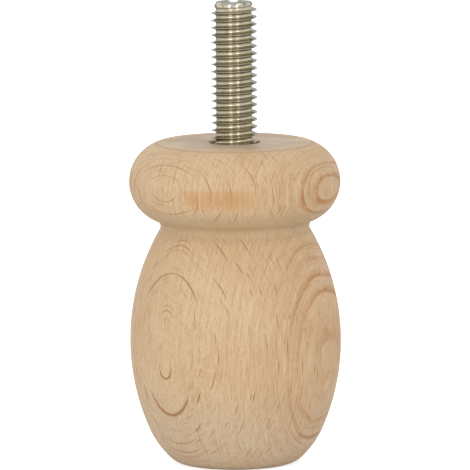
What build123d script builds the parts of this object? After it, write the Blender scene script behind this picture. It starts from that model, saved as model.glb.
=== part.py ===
from build123d import *
import os
from math import radians, sqrt, tan

# Turned beech furniture foot with a hanger bolt.
#
# The foot is one piece of beech, turned between centres: a barrel body on a
# small flat base, a neck cut in above it, and a half-round collar under a flat
# top. A steel hanger bolt stands out of the top. Its machine thread goes into
# the furniture, and its coarse wood thread holds it in a pilot hole bored down
# the foot's axis.
#
# The origin is at the middle of the base. +Z is the axis of turning, towards
# the bolt. Sizes are millimetres.

# Turned foot: the barrel, with its insets measured from the belly's surface
FOOT_HEIGHT = 55.0
BODY_DIAMETER = 36.0
BELLY_HEIGHT = 21.0  # where the barrel is widest
SHOULDER_HEIGHT = 6.0  # where the barrel turns in towards the base
SHOULDER_INSET = 3.1
BASE_INSET = 7.75  # to the corner, before it is rounded
BASE_EDGE_RADIUS = 3.5

# Turned foot: the collar, with its insets measured from its edge
COLLAR_DIAMETER = 36.0
COLLAR_CURVE_RADIUS = 7.0
TOP_INSET = 5.0  # to the rim of the flat top, before it is rounded
TOP_EDGE_RADIUS = 0.3
NECK_INSET = 5.95  # to the corner between collar and barrel, before its fillet
NECK_FILLET = 1.2

# Hanger bolt, above the foot: M8 x 1.25, shown by its major diameter
THREAD_DIAMETER = 8.0
THREAD_LENGTH = 24.0
TIP_DIAMETER = 5.6  # flat left by the end's chamfer
TIP_CHAMFER_LENGTH = 1.2
SLOT_WIDTH = 1.7
SLOT_DEPTH = 0.4

# Hanger bolt, inside the foot
SHANK_DIAMETER = 7.1
SHANK_LENGTH = 3.5
CORE_DIAMETER = 5.4
WOOD_THREAD_DIAMETER = 7.6
WOOD_THREAD_PITCH = 3.5
WOOD_THREAD_TURNS = 5
THREAD_CREST_WIDTH = 0.25
THREAD_FLANK_ANGLE = 30.0
POINT_LENGTH = 5.0

# Hole for the bolt
MOUTH_CLEARANCE = 0.2  # round the machine thread, on each side
MOUTH_CHAMFER = 0.25
FIT_CLEARANCE = 0.05  # round the bolt's core and wood thread, and under its shank
DRILL_RUN_ON = 1.5  # pilot hole past the bolt's point
DRILL_POINT_ANGLE = 118.0

belly = (BODY_DIAMETER / 2, BELLY_HEIGHT)
shoulder = (BODY_DIAMETER / 2 - SHOULDER_INSET, SHOULDER_HEIGHT)
base_corner = (BODY_DIAMETER / 2 - BASE_INSET, 0)

# The collar is one arc, from the rim of the flat top round to the neck. Its
# height above and below its edge follows from how far in each end lies.
collar_rise = sqrt(COLLAR_CURVE_RADIUS**2 - (COLLAR_CURVE_RADIUS - TOP_INSET) ** 2)
collar_drop = sqrt(COLLAR_CURVE_RADIUS**2 - (COLLAR_CURVE_RADIUS - NECK_INSET) ** 2)
top_corner = (COLLAR_DIAMETER / 2 - TOP_INSET, FOOT_HEIGHT)
collar_edge = (COLLAR_DIAMETER / 2, FOOT_HEIGHT - collar_rise)
neck_corner = (COLLAR_DIAMETER / 2 - NECK_INSET, FOOT_HEIGHT - collar_rise - collar_drop)

thread_tip = FOOT_HEIGHT + THREAD_LENGTH
shank_bottom = FOOT_HEIGHT - SHANK_LENGTH
wood_thread_length = WOOD_THREAD_PITCH * WOOD_THREAD_TURNS
core_bottom = shank_bottom - wood_thread_length
bolt_point = core_bottom - POINT_LENGTH


def wood_thread(clearance=0.0):
    """The bolt's wood thread, or with a clearance the groove that it cuts in the wood.

    A tooth is carried up a helix that runs past both ends, then trimmed by an
    envelope, so that it grows out of the core and dies away under the shank.
    """
    core = CORE_DIAMETER / 2 + clearance
    crest = WOOD_THREAD_DIAMETER / 2 + clearance
    depth = crest - core
    root = core - depth / 4
    crest_half = THREAD_CREST_WIDTH / 2 + clearance
    root_half = crest_half + (crest - root) * tan(radians(THREAD_FLANK_ANGLE))
    start = core_bottom - WOOD_THREAD_PITCH / 2
    with BuildPart() as tooth:
        with BuildLine() as helix:
            Helix(
                pitch=WOOD_THREAD_PITCH,
                height=wood_thread_length + WOOD_THREAD_PITCH,
                radius=crest,
                center=(0, 0, start),
            )
        with BuildSketch(Plane.XZ):
            with BuildLine():
                Polyline(
                    (crest, start - crest_half),
                    (crest, start + crest_half),
                    (root, start + root_half),
                    (root, start - root_half),
                    close=True,
                )
            make_face()
        sweep(path=helix.line, is_frenet=True)
        with BuildSketch(Plane.XZ):
            with BuildLine():
                Polyline(
                    (0, core_bottom),
                    (core, core_bottom),
                    (crest + depth / 2, core_bottom + WOOD_THREAD_PITCH),
                    (crest + depth / 2, shank_bottom - WOOD_THREAD_PITCH),
                    (core, shank_bottom),
                    (0, shank_bottom),
                    close=True,
                )
            make_face()
        revolve(axis=Axis.Z, mode=Mode.INTERSECT)
    return tooth.part


# Hanger bolt: one turned blank, with the wood thread rolled up its core
with BuildPart() as hanger_bolt:
    with BuildSketch(Plane.XZ):
        with BuildLine():
            Polyline(
                (0, bolt_point),
                (CORE_DIAMETER / 2, core_bottom),
                (CORE_DIAMETER / 2, shank_bottom),
                (SHANK_DIAMETER / 2, shank_bottom),
                (SHANK_DIAMETER / 2, FOOT_HEIGHT),
                (THREAD_DIAMETER / 2, FOOT_HEIGHT),
                (THREAD_DIAMETER / 2, thread_tip - TIP_CHAMFER_LENGTH),
                (TIP_DIAMETER / 2, thread_tip),
                (0, thread_tip),
                close=True,
            )
        make_face()
    revolve(axis=Axis.Z)
    add(wood_thread())
    # Shallow slot across the end
    with BuildSketch(Plane.XY.offset(thread_tip)):
        Rectangle(SLOT_WIDTH, THREAD_DIAMETER)
    extrude(amount=-SLOT_DEPTH, mode=Mode.SUBTRACT)

# Foot: half its section turned round the axis, then bored and threaded for the bolt
with BuildPart() as turned_foot:
    with BuildSketch(Plane.XZ):
        with BuildLine():
            # The barrel is upright at the belly, and each curve below it leaves the last in line
            TangentArc(belly, neck_corner, tangent=(0, 1))
            lower_barrel = TangentArc(belly, shoulder, tangent=(0, -1))
            TangentArc(shoulder, base_corner, tangent=lower_barrel % 1)
            ThreePointArc(neck_corner, collar_edge, top_corner)
            Polyline(top_corner, (0, FOOT_HEIGHT), (0, 0), base_corner)
        make_face()
        fillet(vertices().sort_by_distance(base_corner)[0], BASE_EDGE_RADIUS)
        fillet(vertices().sort_by_distance(neck_corner)[0], NECK_FILLET)
        fillet(vertices().sort_by_distance(top_corner)[0], TOP_EDGE_RADIUS)
    revolve(axis=Axis.Z)
    # Mouth with an eased rim, pilot hole, and the drill's point below it
    pilot_radius = CORE_DIAMETER / 2 + FIT_CLEARANCE
    pilot_bottom = bolt_point - DRILL_RUN_ON
    with Locations((0, 0, FOOT_HEIGHT)):
        CounterBoreHole(
            radius=pilot_radius,
            counter_bore_radius=THREAD_DIAMETER / 2 + MOUTH_CLEARANCE,
            counter_bore_depth=SHANK_LENGTH + FIT_CLEARANCE,
            depth=FOOT_HEIGHT - pilot_bottom,
        )
    chamfer(edges(Select.LAST).sort_by(Axis.Z)[-1], MOUTH_CHAMFER)
    with Locations((0, 0, pilot_bottom)):
        Cone(
            bottom_radius=0,
            top_radius=pilot_radius,
            height=pilot_radius / tan(radians(DRILL_POINT_ANGLE / 2)),
            align=(Align.CENTER, Align.CENTER, Align.MAX),
            mode=Mode.SUBTRACT,
        )
    # Groove that the wood thread cuts up the pilot hole's wall
    add(wood_thread(FIT_CLEARANCE), mode=Mode.SUBTRACT)

os.makedirs("parts", exist_ok=True)
hanger_bolt.part.label = "hanger_bolt"
turned_foot.part.label = "turned_foot"
export_step(hanger_bolt.part, "parts/hanger_bolt.step")
export_step(turned_foot.part, "parts/turned_foot.step")
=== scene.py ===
from math import cos, pi, radians, sin

import bpy
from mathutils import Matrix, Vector


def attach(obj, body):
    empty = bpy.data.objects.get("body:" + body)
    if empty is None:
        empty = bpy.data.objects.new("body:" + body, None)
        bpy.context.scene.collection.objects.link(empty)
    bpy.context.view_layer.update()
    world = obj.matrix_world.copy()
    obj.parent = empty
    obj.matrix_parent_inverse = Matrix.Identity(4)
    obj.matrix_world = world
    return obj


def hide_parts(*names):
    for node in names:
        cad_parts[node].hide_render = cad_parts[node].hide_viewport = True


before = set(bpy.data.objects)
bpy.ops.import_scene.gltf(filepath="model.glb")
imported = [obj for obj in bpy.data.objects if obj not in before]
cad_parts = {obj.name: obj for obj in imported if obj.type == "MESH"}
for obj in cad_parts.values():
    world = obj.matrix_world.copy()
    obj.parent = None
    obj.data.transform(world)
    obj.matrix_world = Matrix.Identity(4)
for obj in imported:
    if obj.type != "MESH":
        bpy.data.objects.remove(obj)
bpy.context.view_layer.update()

# Turned foot: one piece of unfinished beech, turned between centres and sanded.
# Its growth rings and its rays are upright sheets, nearly square to each other, and
# every line on the surface is where the turned shape cuts one of these sheets.
MM = 0.001  # sizes in the wood itself are in millimetres
RING_FACING = radians(61)  # heading of the rings' normal, from the front towards +X
RAY_FACING = radians(-42)  # heading of the rays' normal
RING_SPACING = 1.16
RING_PLACE = 15.5  # one ring's outer face, from the axis, at belly height
BELLY = 21.0
RING_LEAN = 0.048  # outwards for each mm up
RING_CURL = 0.022  # how far the rings bend outwards past their heading, for each mm squared
WANDER = 0.5  # how far the sheets stray, from side to side


def tint(red, green, blue):
    """A colour written as 0 to 255 on a screen, for a shader."""
    screen = [value / 255 for value in (red, green, blue)]
    return [c / 12.92 if c <= 0.04045 else ((c + 0.055) / 1.055) ** 2.4 for c in screen] + [1.0]


def new_material(name):
    """A material, its node tree, and the inputs of its shader."""
    made = bpy.data.materials.new(name)
    made.use_nodes = True
    return made, made.node_tree, made.node_tree.nodes["Principled BSDF"].inputs


def dress(piece, material):
    piece.data.materials.clear()
    piece.data.materials.append(material)


def connect(tree, socket, feed):
    """Gives an input its value, or links it to another node's output."""
    if isinstance(feed, bpy.types.NodeSocket):
        tree.links.new(feed, socket)
    else:
        socket.default_value = feed


def wire(tree, kind, feeds, out=0, **settings):
    """Adds a node with what feeds each of its inputs. Gives one of its outputs."""
    made = tree.nodes.new(kind)
    for name, value in settings.items():
        setattr(made, name, value)
    for place, feed in feeds.items():
        connect(tree, made.inputs[place], feed)
    return made.outputs[out]


def work_out(tree, operation, *values, clamp=False):
    return wire(tree, "ShaderNodeMath", dict(enumerate(values)), operation=operation, use_clamp=clamp)


def product(tree, first, *others):
    for other in others:
        first = work_out(tree, "MULTIPLY", first, other)
    return first


def vector_math(tree, operation, *vectors, scale=1.0, out="Vector"):
    feeds = dict(enumerate(vectors))
    feeds[3] = scale
    return wire(tree, "ShaderNodeVectorMath", feeds, out, operation=operation)


def remap(tree, value, low, high, to_low=0.0, to_high=1.0):
    """Takes low to to_low and high to to_high with a soft start and end, and holds them outside."""
    feeds = {0: value, 1: low, 2: high, 3: to_low, 4: to_high}
    return wire(tree, "ShaderNodeMapRange", feeds, interpolation_type="SMOOTHSTEP")


def between(tree, value, band, strength=1.0):
    """A mask on a band. The band says where it starts, is full, starts to fade and is gone."""
    start, full, fading, gone = band
    return product(tree, remap(tree, value, start, full), remap(tree, value, gone, fading, 0.0, strength))


def noise(tree, place, scale, detail, out="Fac"):
    return wire(tree, "ShaderNodeTexNoise", {"Vector": place, "Scale": scale, "Detail": detail}, out)


def stretched_noise(tree, place, stretch, detail):
    """Noise with a scale of its own along each axis, so that it runs into streaks."""
    return noise(tree, vector_math(tree, "MULTIPLY", place, stretch), 1.0, detail)


def bump(tree, strength, depth, height):
    return wire(tree, "ShaderNodeBump", {"Strength": strength, "Distance": depth, "Height": height}, "Normal")


def blend_in(tree, mask, under, over):
    """The colour over, laid on the colour under where the mask is 1."""
    return wire(tree, "ShaderNodeMix", {0: mask, 6: under, 7: over}, 2, data_type="RGBA")


def lay_on(tree, colour, layers):
    """Lays the layers on a colour, one after the other. A layer is a mask and its colour."""
    for mask, over in layers:
        colour = blend_in(tree, mask, colour, tint(*over))
    return colour


def place_on_piece(tree):
    """A point's place on the piece, in millimetres."""
    return vector_math(tree, "SCALE", wire(tree, "ShaderNodeTexCoord", {}, "Object"), scale=1 / MM)


def out_from_axis(tree, place):
    return vector_math(tree, "LENGTH", vector_math(tree, "MULTIPLY", place, (1, 1, 0)), out="Value")


def mask_group(name, floats, vectors=()):
    """A node group that puts out a mask. Gives the group, its inputs and the mask's socket."""
    tree = bpy.data.node_groups.new(name, "ShaderNodeTree")
    for labels, kind in ((vectors, "NodeSocketVector"), (floats, "NodeSocketFloat")):
        for label in labels:
            tree.interface.new_socket(label, in_out="INPUT", socket_type=kind)
    tree.interface.new_socket("Mask", in_out="OUTPUT", socket_type="NodeSocketFloat")
    return tree, tree.nodes.new("NodeGroupInput").outputs, tree.nodes.new("NodeGroupOutput").inputs["Mask"]


def lens(tree, along, off, half_width, soft_edge):
    """A lens, closed where along is 1, with an edge that is a part of its half width."""
    taper = work_out(tree, "SUBTRACT", 1.0, product(tree, along, along))
    inside = work_out(tree, "SUBTRACT", product(tree, taper, half_width), off)
    return work_out(tree, "DIVIDE", inside, product(tree, half_width, soft_edge), clamp=True)


# One ray: a thin upright lens of darker cells, seen as a dash or an arc
one_ray, given, mask = mask_group(
    "one ray", ("Across", "Up", "Place", "Middle", "Half height", "Half width", "Lean", "Depth")
)
above = work_out(one_ray, "SUBTRACT", given["Up"], given["Middle"])
along = work_out(one_ray, "DIVIDE", above, given["Half height"])
centre = work_out(one_ray, "MULTIPLY_ADD", above, given["Lean"], given["Place"])
off = work_out(one_ray, "ABSOLUTE", work_out(one_ray, "SUBTRACT", given["Across"], centre))
shape = lens(one_ray, along, off, given["Half width"], soft_edge=0.7)
connect(one_ray, mask, product(one_ray, shape, given["Depth"]))

# Scattered rays: one in each cell of a loose net, its length, width and depth
# drawn from the cell's own colour
scattered, given, mask = mask_group("scattered rays", ("Gap", "Height", "Run", "Half width"), ["Sheets"])
cell_size = wire(scattered, "ShaderNodeCombineXYZ", {0: given["Gap"], 1: given["Run"], 2: given["Height"]})
net = vector_math(scattered, "DIVIDE", given["Sheets"], cell_size)
cell = wire(scattered, "ShaderNodeTexVoronoi", {"Vector": net, "Scale": 1.0}).node.outputs
away = vector_math(scattered, "SUBTRACT", net, cell["Position"])
away = wire(scattered, "ShaderNodeSeparateXYZ", {0: away}).node.outputs
drawn = wire(scattered, "ShaderNodeSeparateColor", {0: cell["Color"]}).node.outputs
half_height = work_out(scattered, "MULTIPLY_ADD", drawn[0], 0.30, 0.12)  # 0.12 to 0.42 of a cell
along = work_out(scattered, "DIVIDE", away[2], half_height)
off = product(scattered, work_out(scattered, "ABSOLUTE", away[0]), given["Gap"])
widening = work_out(scattered, "MULTIPLY_ADD", drawn[1], 0.9, 0.55)  # 0.55 to 1.45 times
half_width = product(scattered, given["Half width"], widening)
shape = lens(scattered, along, off, half_width, soft_edge=0.8)
depth = work_out(scattered, "POWER", drawn[2], 1.5)  # mostly faint, a few deep
connect(scattered, mask, product(scattered, shape, depth))

# Largest rays near the front, in millimetres: place across the rays, bottom, top,
# half width, lean and depth of colour
LARGE_RAYS = [
    (15.82, 28.6, 35.4, 0.080, -0.085, 0.85),
    (16.47, 7.6, 14.6, 0.085, 0.11, 0.95),
    (17.7225, 13.4, 19.8, 0.015, 0.075, 1.0),
    (17.305, 26.6, 30.2, 0.020, -0.10, 0.65),
    (17.13, 27.6, 31.0, 0.022, -0.10, 0.50),
    (17.506, 25.8, 28.8, 0.012, -0.10, 0.40),
    (16.30, 29.0, 33.6, 0.025, -0.12, 0.30),
    (14.32, 3.2, 6.4, 0.070, 0.10, 0.70),
    (13.35, 2.0, 4.6, 0.080, 0.10, 0.80),
    (12.65, 1.2, 3.8, 0.080, 0.10, 0.70),
    (13.60, 36.8, 40.6, 0.050, -0.30, 0.60),
    (13.05, 38.2, 41.6, 0.045, -0.30, 0.45),
    (14.20, 35.2, 39.0, 0.040, -0.25, 0.40),
    (11.70, 35.6, 40.4, 0.096, 0.02, 0.95),
    (10.72, 34.0, 36.6, 0.115, 0.15, 0.98),
    (10.00, 33.0, 35.0, 0.115, 0.10, 0.86),
    (13.60, 30.0, 34.1, 0.080, 0.13, 1.0),
    (13.72, 27.4, 29.9, 0.070, 0.15, 0.90),
    (8.78, 36.9, 40.8, 0.115, 0.10, 0.98),
    (9.00, 30.6, 32.7, 0.115, -0.05, 0.92),
    (7.31, 24.9, 28.4, 0.111, 0.01, 1.0),
    (9.37, 21.9, 25.3, 0.093, 0.0, 0.75),
    (15.32, 22.4, 25.2, 0.060, -0.05, 0.90),
    (15.12, 18.6, 22.3, 0.070, 0.0, 1.0),
    (17.12, 17.0, 22.8, 0.035, 0.0, 0.60),
    (16.60, 24.0, 29.4, 0.040, -0.12, 0.70),
    (12.00, 17.2, 19.9, 0.084, 0.0, 0.80),
    (7.29, 16.8, 20.5, 0.093, 0.05, 0.92),
    (5.83, 19.6, 24.2, 0.102, 0.03, 0.98),
    (2.77, 16.3, 20.5, 0.111, 0.03, 1.0),
    (2.48, 13.0, 15.8, 0.102, 0.01, 1.0),
    (-0.64, 19.4, 22.8, 0.093, 0.0, 0.92),
    (-0.92, 14.5, 19.2, 0.102, 0.12, 1.0),
    (1.76, 21.0, 23.1, 0.102, -0.02, 1.0),
    (1.97, 24.0, 25.3, 0.115, -0.09, 1.0),
    (3.48, 6.3, 12.2, 0.102, -0.04, 0.98),
    (7.95, 12.7, 17.9, 0.085, 0.12, 0.80),
    (4.80, 13.2, 15.9, 0.102, 0.03, 0.98),
    (-0.14, 9.9, 12.0, 0.102, 0.12, 0.92),
    (0.16, 4.9, 7.1, 0.102, 0.13, 0.92),
    (15.42, 14.2, 18.3, 0.070, -0.05, 0.95),
    (16.12, 12.0, 14.9, 0.090, 0.07, 1.0),
    (12.46, 10.0, 13.1, 0.096, 0.0, 0.95),
    (12.92, 7.8, 9.7, 0.070, 0.0, 0.80),
    (11.13, 6.5, 10.0, 0.084, 0.0, 0.90),
    (14.96, 6.7, 9.5, 0.070, 0.10, 0.90),
    (16.52, 50.9, 53.4, 0.055, 0.0, 0.90),
    (17.46, 49.9, 51.6, 0.040, 0.0, 0.65),
    (17.78, 45.6, 48.0, 0.035, 0.0, 0.60),
    (16.78, 43.8, 45.5, 0.070, 0.0, 0.85),
    (15.76, 45.9, 52.6, 0.080, 0.03, 0.90),
    (16.45, 44.0, 48.2, 0.070, 0.20, 0.80),
    (14.20, 42.2, 46.2, 0.090, 0.10, 1.0),
    (12.25, 42.4, 46.2, 0.090, 0.28, 1.0),
    (13.78, 45.8, 51.3, 0.090, 0.05, 1.0),
    (10.85, 48.8, 54.1, 0.090, 0.12, 1.0),
    (8.10, 44.6, 50.4, 0.090, 0.10, 1.0),
    (7.08, 46.6, 50.3, 0.080, 0.0, 0.95),
    (4.92, 46.0, 48.5, 0.080, 0.10, 0.95),
]

beech, wood, shader = new_material("beech")

# Place in the wood, in millimetres: across the rays, across the rings, and up.
# The large rays are placed on straight sheets, and all else on sheets that stray.
ray_normal = (sin(RAY_FACING), -cos(RAY_FACING), 0)
ring_normal = (sin(RING_FACING), -cos(RING_FACING), -RING_LEAN)
ring_tangent = (cos(RING_FACING), sin(RING_FACING), 0)
place = place_on_piece(wood)
right, back, up = wire(wood, "ShaderNodeSeparateXYZ", {0: place}).node.outputs
stray = noise(wood, place, scale=0.16, detail=2.0, out="Color")
stray = vector_math(wood, "SUBTRACT", stray, (0.5, 0.5, 0.5))
grain_place = vector_math(wood, "ADD", place, vector_math(wood, "SCALE", stray, scale=WANDER))
straight_across_rays = vector_math(wood, "DOT_PRODUCT", place, ray_normal, out="Value")
across_rays = vector_math(wood, "DOT_PRODUCT", grain_place, ray_normal, out="Value")
across_rings = vector_math(wood, "DOT_PRODUCT", grain_place, ring_normal, out="Value")
across_rings = work_out(wood, "ADD", across_rings, RING_LEAN * BELLY)
past = work_out(wood, "MAXIMUM", vector_math(wood, "DOT_PRODUCT", place, ring_tangent, out="Value"), 0.0)
across_rings = work_out(wood, "MULTIPLY_ADD", product(wood, past, past), RING_CURL, across_rings)
sheets = wire(wood, "ShaderNodeCombineXYZ", {0: across_rays, 1: across_rings, 2: up})
turned_sheets = wire(wood, "ShaderNodeCombineXYZ", {0: across_rings, 1: across_rays, 2: up})

# Noise in the wood: streaks in the planes of the rings and of the rays, flecks, and
# wide pale and dark clouds
ring_fibre = stretched_noise(wood, sheets, stretch=(0.4, 3.2, 0.20), detail=3.0)
ray_fibre = stretched_noise(wood, sheets, stretch=(3.4, 0.4, 0.35), detail=3.0)
fleck = stretched_noise(wood, place, stretch=(4.5, 4.5, 1.6), detail=2.0)
uneven = noise(wood, place, scale=0.14, detail=2.0)
cloud = noise(wood, place, scale=0.09, detail=3.0)

# Growth rings: a band of darker late wood, soft on its inner side and sharp on its
# outer. It shows on the two flat-cut sides, most of all in their upper half. The
# outermost years differ in width, and the last one fades low down.
year_shift = work_out(
    wood,
    "ADD",
    remap(wood, across_rings, 15.6, 16.3, 0.0, 0.19),
    remap(wood, across_rings, 16.8, 17.9, 0.0, -0.32),
)
years = work_out(wood, "SUBTRACT", work_out(wood, "ADD", across_rings, year_shift), RING_PLACE)
year_part = work_out(wood, "FRACT", work_out(wood, "DIVIDE", years, RING_SPACING))
late_wood = product(
    wood,
    work_out(wood, "POWER", remap(wood, year_part, 0.30, 0.97), 2.4),
    remap(wood, year_part, 1.0, 0.965),
)
flat_cut = remap(wood, work_out(wood, "ABSOLUTE", across_rings), 14.4, 15.2, 0.16, 1.0)
below_neck = between(wood, up, (33.0, 37.0, 41.0, 42.5), 0.45)
below_neck = product(wood, below_neck, remap(wood, across_rings, 12.0, 13.0))
crown = work_out(wood, "ADD", remap(wood, up, 20.0, 31.0, 0.42, 1.25), remap(wood, up, 13.0, 7.0, 0.0, 0.30))
last_year = remap(wood, across_rings, 16.8, 17.4)
low_fade = work_out(wood, "SUBTRACT", remap(wood, up, 12.5, 16.5, 0.2, 1.05), 1.0)
ring_mask = product(
    wood,
    late_wood,
    work_out(wood, "ADD", flat_cut, below_neck),
    remap(wood, uneven, 0.38, 0.60, 0.55, 1.0),
    crown,
    work_out(wood, "MULTIPLY_ADD", last_year, low_fade, 1.0),
    remap(wood, fleck, 0.35, 0.62, 0.65, 1.10),
)

# Rays: the large ones one by one, and two nets of smaller ones. The nets fade where
# the surface lies along the rays, and are clearer on the right. The fine net is also
# clearer where the wood slopes in to the neck and to the base.
large = 0.0
for across, bottom, top, half_width, lean, depth in LARGE_RAYS:
    feeds = {
        "Across": straight_across_rays,
        "Up": up,
        "Place": across,
        "Middle": (bottom + top) / 2,
        "Half height": (top - bottom) / 2,
        "Half width": half_width,
        "Lean": lean,
        "Depth": depth,
    }
    large = work_out(wood, "MAXIMUM", large, wire(wood, "ShaderNodeGroup", feeds, node_tree=one_ray))


def scatter(sheets, gap, run, height, half_width):
    """A net of rays with cells this wide, deep and high, in millimetres."""
    feeds = {"Sheets": sheets, "Gap": gap, "Run": run, "Height": height, "Half width": half_width}
    return wire(wood, "ShaderNodeGroup", feeds, node_tree=scattered)


seen = product(
    wood,
    remap(wood, work_out(wood, "ABSOLUTE", across_rays), 16.5, 17.2, 1.0, 0.0),
    remap(wood, across_rings, 5.0, 13.0, 0.70, 1.5),
)
sloping = work_out(
    wood, "MAXIMUM", remap(wood, up, 13.0, 6.0, 0.9, 2.0), remap(wood, up, 29.0, 36.0, 0.9, 1.8)
)
small = product(wood, scatter(sheets, gap=1.0, run=11.0, height=4.6, half_width=0.085), seen)
fine = product(wood, scatter(sheets, gap=0.5, run=5.0, height=2.0, half_width=0.06), seen, sloping)

# Vessel lines: fine dark lines in the planes of the rings
vessels = product(
    wood,
    scatter(turned_sheets, gap=0.62, run=9.0, height=6.5, half_width=0.055),
    remap(wood, across_rings, 16.2, 16.9, 1.0, 0.15),
    work_out(wood, "MULTIPLY", sloping, 0.8),
)

# Places that differ: a neck painted greyer and darker, partly as shade under the collar
# and partly as greyer end grain, a dark line round the top's rim, a patch rubbed warm on
# the collar's front, a right side browner in its wood and partly painted darker as shade
# away from the stronger left lamp, and a left side with more flecks
NECK_SHADE_AND_GREY = (38.5, 41.5, 43.5, 45.5)
RIM = (54.72, 54.84, 54.96, 54.995)
RUBBED_HEIGHT = (44.9, 46.9, 48.3, 49.4)
RUBBED_WIDTH = (-10.4, -7.8, -1.0, 7.0)
# Right side: browner wood, partly painted shade away from the stronger left lamp
right_side_brown_and_shade = product(
    wood, remap(wood, across_rings, 10.0, 15.0, 0.0, 0.36), remap(wood, up, 3.0, 9.0, 0.2, 1.0)
)
fleck_strength = remap(wood, across_rays, 12.0, 16.5, 0.17, 0.30)
rubbed = product(
    wood,
    between(wood, up, RUBBED_HEIGHT),
    between(wood, right, RUBBED_WIDTH),
    remap(wood, back, 0.0, -4.0),
    remap(wood, ring_fibre, 0.3, 0.6, 0.32, 0.70),
)

# End grain: greyer, on the top and the base, and painted darker towards the back as shade away from the front
# lamps
facing = wire(wood, "ShaderNodeNewGeometry", {}, "Normal")
facing_up = work_out(wood, "ABSOLUTE", wire(wood, "ShaderNodeSeparateXYZ", {0: facing}, 2))
end_grain = product(
    wood,
    remap(wood, facing_up, 0.90, 1.0, 0.0, 0.60),
    remap(wood, out_from_axis(wood, place), 13.2, 9.0, 0.40, 1.0),
)
# cloudy end grain, with painted shade growing towards the back
cloud_and_back_shade = work_out(wood, "MULTIPLY_ADD", back, 0.012, cloud)
cut_end = blend_in(wood, remap(wood, cloud_and_back_shade, 0.38, 0.62), tint(217, 199, 176), tint(180, 164, 146))

# Colour: pale tan, less yellow towards the base as painted light from the white floor, browner in late wood
# and rays
colour = blend_in(wood, remap(wood, cloud, 0.35, 0.65), tint(224, 193, 153), tint(217, 183, 141))
layers = [
    # towards the base: painted pale light thrown up from the white floor
    (remap(wood, up, 18.0, 4.0, 0.0, 0.75), (212, 192, 165)),  # towards the base
    # right side: browner wood, partly painted shade away from the stronger left lamp
    (right_side_brown_and_shade, (198, 158, 116)),
    (ring_mask, (187, 130, 74)),
    (remap(wood, ring_fibre, 0.50, 0.75, 0.0, 0.32), (184, 140, 98)),  # dark fibres
    (remap(wood, ring_fibre, 0.48, 0.25, 0.0, 0.35), (240, 216, 184)),  # pale fibres
    (remap(wood, ray_fibre, 0.52, 0.78, 0.0, 0.38), (182, 136, 92)),  # fibres along the rays
    (product(wood, remap(wood, fleck, 0.48, 0.72), fleck_strength), (184, 140, 94)),  # dark flecks
    (product(wood, remap(wood, fleck, 0.50, 0.28), fleck_strength), (240, 214, 174)),  # pale flecks
    (product(wood, vessels, 0.70), (168, 118, 68)),
    (product(wood, fine, 0.48), (173, 122, 68)),
    (product(wood, small, 0.68), (158, 106, 54)),
    (product(wood, large, 0.85), (160, 106, 50)),
    (rubbed, (208, 154, 96)),
    # neck: painted shade under the collar, and greyer end grain
    (between(wood, up, NECK_SHADE_AND_GREY, 0.45), (184, 162, 128)),
]
colour = blend_in(wood, end_grain, lay_on(wood, colour, layers), cut_end)
colour = lay_on(wood, colour, [(between(wood, up, RIM, 0.30), (160, 122, 86))])
connect(wood, shader["Base Color"], colour)

# Surface: sanded and dull, with open pores and rays a little below the rest
pores = work_out(wood, "ADD", ray_fibre, product(wood, large, -0.5))
connect(wood, shader["Normal"], bump(wood, strength=0.15, depth=0.05 * MM, height=pores))
connect(wood, shader["Roughness"], remap(wood, ring_fibre, 0.2, 0.8, 0.60, 0.48))

dress(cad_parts["turned_foot"], beech)

# Hanger bolt: nickel-plated steel, M8 x 1.25. The machine thread is rolled, and
# runs a little way into the mouth of the hole in the foot. Below it are the
# plain shank, the coarse wood thread and the point.
PITCH = 1.25 * MM
ROOT_RADIUS = 3.05 * MM
THREAD_BOTTOM = 53.2 * MM  # inside the mouth of the hole
CREST_ON_RIGHT = 77.65 * MM  # height of the last whole crest, on the +X side
SHANK_CUT = 53.6 * MM  # above the thread's bottom, so that the two halves overlap
TIP = 79.0 * MM
SLOT_DEPTH = 0.42 * MM
SLOT_RADIUS = 1.12 * MM  # the slot's bottom is round
SLOT_CUTTER_LENGTH = 10 * MM
CUT_THRESHOLD = 0.0001 * MM  # small, so that a cut moves no point near it
SAME_POINT = 0.0005 * MM

# One turn's outline from root to root: steps outwards and up, in millimetres
TURN_OUTLINE = [
    (0, 0.18),
    (0.04, 0.13),
    (0.16, 0.15),
    (0.12, 0.045),
    (0.56, 0.18),
    (0, 0.06),
    (-0.56, 0.18),
    (-0.12, 0.045),
    (-0.16, 0.15),
    (-0.04, 0.13),
]
CREST_PLACE = 0.715 * MM  # from the outline's start up to the middle of its crest
SPARE_TURNS = 3  # past both ends, to be trimmed off
TURNS_ABOVE = 2  # of all turns, past the last whole crest
STEPS_PER_TURN = 72


def take_up(piece):
    """Leaves one piece selected and active, for the operators."""
    bpy.ops.object.select_all(action="DESELECT")
    piece.select_set(True)
    bpy.context.view_layer.objects.active = piece


# Thread: the outline is extruded from one point, wound up the bolt, and trimmed flat
bpy.ops.object.select_all(action="DESELECT")
turns = round((TIP - THREAD_BOTTOM) / PITCH) + SPARE_TURNS
start = CREST_ON_RIGHT - CREST_PLACE - (turns - TURNS_ABOVE) * PITCH
bpy.ops.mesh.primitive_plane_add(size=MM, location=(0, 0, 0))
thread = bpy.context.object
thread.name = "hanger_bolt_dressed"
bpy.ops.object.mode_set(mode="EDIT")
bpy.ops.mesh.merge(type="CENTER")
bpy.ops.transform.translate(value=(ROOT_RADIUS, 0, start))
for outwards, upwards in TURN_OUTLINE:
    step = (outwards * MM, 0, upwards * MM)
    bpy.ops.mesh.extrude_region_move(TRANSFORM_OT_translate={"value": step})
bpy.ops.object.mode_set(mode="OBJECT")
wind = thread.modifiers.new("wind", "SCREW")
wind.angle = 2 * pi
wind.screw_offset = PITCH
wind.iterations = turns
wind.steps = wind.render_steps = STEPS_PER_TURN
wind.use_merge_vertices = True
wind.merge_threshold = SAME_POINT
wind.use_smooth_shade = False
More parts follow.
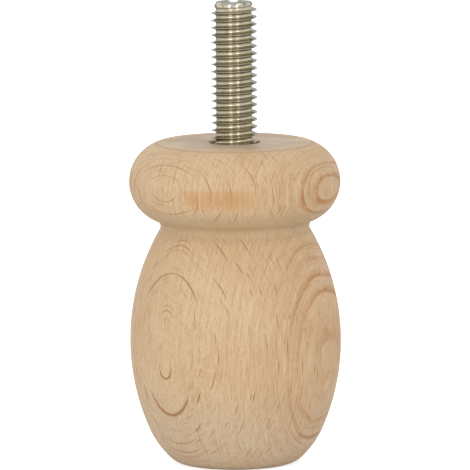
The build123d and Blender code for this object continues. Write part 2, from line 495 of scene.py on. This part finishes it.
bpy.ops.object.modifier_apply(modifier="wind")
bpy.ops.object.mode_set(mode="EDIT")
bpy.ops.mesh.select_all(action="SELECT")
bpy.ops.mesh.remove_doubles(threshold=2 * SAME_POINT)
for height, above_it in ((THREAD_BOTTOM, False), (TIP, True)):
    bpy.ops.mesh.select_all(action="SELECT")
    bpy.ops.mesh.bisect(
        plane_co=(0, 0, height),
        plane_no=(0, 0, 1),
        use_fill=True,
        clear_inner=not above_it,
        clear_outer=above_it,
        threshold=CUT_THRESHOLD,
    )
bpy.ops.mesh.select_all(action="SELECT")
bpy.ops.mesh.normals_make_consistent(inside=False)
bpy.ops.object.mode_set(mode="OBJECT")

# Blank that the thread was rolled on: a round bar, turned down at its end. Each
# step is a radius and the height that it reaches, in millimetres.
BLANK_STEPS = [(3.95, 77.92), (3.27, 78.12), (3.20, 78.80), (2.90, 79.0)]
blank_bottom = THREAD_BOTTOM - PITCH
bar_radius, bar_top = BLANK_STEPS[0]
bar_length = bar_top * MM - blank_bottom
bpy.ops.mesh.primitive_cylinder_add(
    vertices=96,
    radius=bar_radius * MM,
    depth=bar_length,
    location=(0, 0, blank_bottom + bar_length / 2),
)
blank = bpy.context.object
bpy.ops.object.mode_set(mode="EDIT")
bpy.ops.mesh.select_all(action="DESELECT")
bpy.ops.object.mode_set(mode="OBJECT")
for face in blank.data.polygons:
    face.select = face.normal.z > 0.9  # the bar's top end
bpy.ops.object.mode_set(mode="EDIT")
for (radius, top), (radius_below, top_below) in zip(BLANK_STEPS[1:], BLANK_STEPS):
    step = (0, 0, (top - top_below) * MM)
    bpy.ops.mesh.extrude_region_move(TRANSFORM_OT_translate={"value": step})
    bpy.ops.transform.resize(value=(radius / radius_below, radius / radius_below, 1))
bpy.ops.object.mode_set(mode="OBJECT")

# Cutter for the shallow slot
bpy.ops.mesh.primitive_cylinder_add(
    vertices=64,
    radius=SLOT_RADIUS,
    depth=SLOT_CUTTER_LENGTH,
    location=(0, 0, TIP - SLOT_DEPTH + SLOT_RADIUS),
    rotation=(pi / 2, 0, 0),
)
slot_cutter = bpy.context.object

# Lower half, from the part: shank, wood thread and point
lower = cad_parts["hanger_bolt"].copy()
lower.data = lower.data.copy()
lower.parent = None
bpy.context.collection.objects.link(lower)
take_up(lower)
bpy.ops.object.mode_set(mode="EDIT")
bpy.ops.mesh.select_all(action="SELECT")
bpy.ops.mesh.remove_doubles(threshold=4 * SAME_POINT)
bpy.ops.mesh.bisect(
    plane_co=(0, 0, SHANK_CUT),
    plane_no=(0, 0, 1),
    use_fill=True,
    clear_outer=True,
    threshold=CUT_THRESHOLD,
)
bpy.ops.object.mode_set(mode="OBJECT")

# The thread is kept where the blank was, slotted, and joined to the lower half
take_up(thread)
for tool, operation in ((blank, "INTERSECT"), (slot_cutter, "DIFFERENCE"), (lower, "UNION")):
    fit = thread.modifiers.new("fit", "BOOLEAN")
    fit.object = tool
    fit.operation = operation
    fit.solver = "EXACT"
    bpy.ops.object.modifier_apply(modifier="fit")
    bpy.data.objects.remove(tool)
bpy.ops.object.mode_set(mode="EDIT")
bpy.ops.mesh.select_all(action="SELECT")
bpy.ops.mesh.remove_doubles(threshold=SAME_POINT)
bpy.ops.mesh.dissolve_degenerate(threshold=SAME_POINT)
bpy.ops.object.mode_set(mode="OBJECT")
bpy.ops.object.shade_smooth_by_angle(angle=radians(35))

# Plating: a painted dim reflection on the thread's flanks, which are a little darker and yellower; duller in
# patches, and worn at the end
SHADED_FLANKS = (3.08, 3.22, 3.50, 3.72)  # out from the axis, in millimetres
steel, plate, shader = new_material("nickel_plated_steel")
shader["Metallic"].default_value = 1.0
shader["Specular Tint"].default_value = (0.50, 0.54, 0.54, 1.0)
place = place_on_piece(plate)
height = wire(plate, "ShaderNodeSeparateXYZ", {0: place}, 2)
patches = noise(plate, place, scale=0.9, detail=4.0)
grit = noise(plate, place, scale=3.0, detail=2.0)
# Thread flanks: painted darker, as the dim surroundings that they reflect
flank_reflection_shade = between(plate, out_from_axis(plate, place), SHADED_FLANKS)
dull_patches = remap(plate, patches, 0.50, 0.75, 0.0, 0.40)
colour = lay_on(plate, tint(201, 193, 172), [(flank_reflection_shade, (193, 184, 161)), (dull_patches, (140, 124, 92))])
worn = blend_in(plate, remap(plate, patches, 0.40, 0.62), tint(216, 210, 192), tint(146, 142, 124))
colour = blend_in(plate, remap(plate, height, 78.0, 78.5), colour, worn)
connect(plate, shader["Base Color"], colour)
connect(plate, shader["Roughness"], remap(plate, patches, 0.3, 0.7, 0.15, 0.24))
connect(plate, shader["Normal"], bump(plate, strength=0.5, depth=0.03 * MM, height=grit))

dress(thread, steel)
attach(thread, "root")
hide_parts("hanger_bolt")

# Floor and backdrop: one plain white sweep, bright to the camera, that keeps
# the foot's soft shadow. Soft light comes from all round, and from two lamps at
# the front, of which the left one is the stronger.
FLOOR_SIZE = 4.0
FLOOR_GLOW = 0.65  # to the camera alone
ROOM_LIGHT = 0.79
LAMP_AIM = Vector((0, 0, 0.04))
bpy.ops.mesh.primitive_plane_add(size=FLOOR_SIZE, location=(0, 0, 0))
floor = bpy.context.object
floor.name = "floor"
paper, sheet, shader = new_material("white_paper")
shader["Base Color"].default_value = tint(245, 245, 245)
shader["Roughness"].default_value = 0.9
shader["Emission Color"].default_value = (1, 1, 1, 1)
to_camera = wire(sheet, "ShaderNodeLightPath", {}, "Is Camera Ray")
connect(sheet, shader["Emission Strength"], product(sheet, to_camera, FLOOR_GLOW))
dress(floor, paper)

world = bpy.data.worlds.new("studio")
world.use_nodes = True
bpy.context.scene.world = world
sky = world.node_tree
background = sky.nodes["Background"].inputs
path = wire(sky, "ShaderNodeLightPath", {}).node.outputs
mirrored = work_out(sky, "MAXIMUM", path["Is Glossy Ray"], path["Is Transmission Ray"])
shown = work_out(sky, "MAXIMUM", path["Is Camera Ray"], mirrored)
connect(sky, background["Strength"], remap(sky, shown, 0.0, 1.0, ROOM_LIGHT, 1.0))
background["Color"].default_value = (1, 1, 1, 1)


def soft_box(name, place, size, power):
    """A square lamp that faces the middle of the foot."""
    lamp = bpy.data.lights.new(name, "AREA")
    lamp.size = size
    lamp.energy = power
    lamp_object = bpy.data.objects.new(name, lamp)
    bpy.context.collection.objects.link(lamp_object)
    lamp_object.location = place
    towards = LAMP_AIM - lamp_object.location
    lamp_object.rotation_euler = towards.to_track_quat("-Z", "Y").to_euler()


soft_box("front_left", (-0.60, -1.42, 0.30), size=0.45, power=2.7)
soft_box("front_right", (0.62, -1.35, 0.28), size=0.35, power=1.8)

# Camera: 1.2 m in front of the foot and a little above it, looking 8 degrees down,
# with a long lens and a slight roll
ELEVATION = radians(8)
DISTANCE = 1.2
AIM_HEIGHT = 0.0402
TILT = radians(8.0575)
ROLL = radians(-0.35)
LENS = 539.4  # in millimetres, on a sensor 36 mm wide
camera_data = bpy.data.cameras.new("camera")
camera_data.sensor_width = 36.0
camera_data.lens = LENS
camera_data.clip_start = 0.05
camera = bpy.data.objects.new("camera", camera_data)
bpy.context.collection.objects.link(camera)
camera.location = (0, -DISTANCE * cos(ELEVATION), AIM_HEIGHT + DISTANCE * sin(ELEVATION))
camera.rotation_mode = "ZXY"
camera.rotation_euler = (pi / 2 - TILT, 0, ROLL)
bpy.context.scene.camera = camera
bpy.context.scene.view_settings.view_transform = "Standard"
